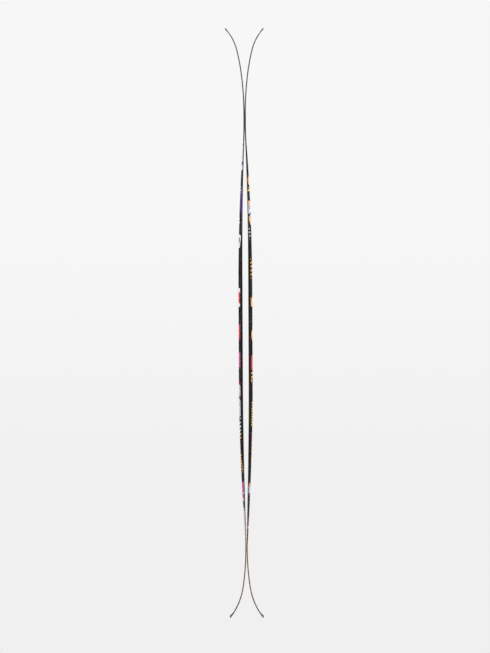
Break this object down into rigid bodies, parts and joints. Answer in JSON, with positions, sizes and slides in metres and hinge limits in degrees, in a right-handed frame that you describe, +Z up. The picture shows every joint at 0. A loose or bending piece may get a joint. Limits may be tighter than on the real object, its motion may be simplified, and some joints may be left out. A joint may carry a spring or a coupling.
{
  "type": "pair of freestyle skis",
  "caption": "Matched pair of twin-tip freestyle skis standing base to base, with camber, rockered ends, steel edges, sidewalls and a bevelled cap topsheet.",
  "frame": {"origin": "middle of the left ski's flat binding zone, on its topsheet, at the boot centre", "axes": "+Z up along both skis towards the tips, +X through the pair from the left ski's topsheet to the right ski's, Y across the skis, with -Y towards the skier's inside edges"},
  "size_m": [0.1081, 0.118, 1.78],
  "materials": {
    "sintered_base": "waxed, stone ground",
    "edge_steel": "ground",
    "edge_rubber": "matt",
    "glass_laminate": "cured resin",
    "poplar": "planed",
    "beech": "planed",
    "sidewall_abs": "sanded",
    "spacer_plastic": "matt",
    "binding_mat": "cured resin",
    "protector_plastic": "moulded, fine grained",
    "left_topsheet": "gloss, printed",
    "right_topsheet": "gloss, printed"
  },
  "bodies": {
    "left_ski": {"left_ski_running_base": "sintered_base", "left_ski_inside_edge": "edge_steel", "left_ski_outside_edge": "edge_steel", "left_ski_inside_edge_rubber": "edge_rubber", "left_ski_outside_edge_rubber": "edge_rubber", "left_ski_lower_laminate": "glass_laminate", "left_ski_core_strip_1": "poplar", "left_ski_core_strip_2": "beech", "left_ski_core_strip_3": "poplar", "left_ski_core_strip_4": "beech", "left_ski_core_strip_5": "poplar", "left_ski_inside_sidewall": "sidewall_abs", "left_ski_outside_sidewall": "sidewall_abs", "left_ski_tip_spacer": "spacer_plastic", "left_ski_tail_spacer": "spacer_plastic", "left_ski_binding_mat": "binding_mat", "left_ski_upper_laminate": "glass_laminate", "left_ski_topsheet": "left_topsheet", "left_ski_tail_protector": "protector_plastic"},
    "right_ski": {"right_ski_running_base": "sintered_base", "right_ski_inside_edge": "edge_steel", "right_ski_outside_edge": "edge_steel", "right_ski_inside_edge_rubber": "edge_rubber", "right_ski_outside_edge_rubber": "edge_rubber", "right_ski_lower_laminate": "glass_laminate", "right_ski_core_strip_1": "poplar", "right_ski_core_strip_2": "beech", "right_ski_core_strip_3": "poplar", "right_ski_core_strip_4": "beech", "right_ski_core_strip_5": "poplar", "right_ski_inside_sidewall": "sidewall_abs", "right_ski_outside_sidewall": "sidewall_abs", "right_ski_tip_spacer": "spacer_plastic", "right_ski_tail_spacer": "spacer_plastic", "right_ski_binding_mat": "binding_mat", "right_ski_upper_laminate": "glass_laminate", "right_ski_topsheet": "right_topsheet", "right_ski_tail_protector": "protector_plastic"}
  },
  "joints": [
    {"name": "pair_parting", "type": "slide", "parent": "left_ski", "child": "right_ski", "axis": [1, 0, 0], "range_m": [0, 0.25]}
  ]
}
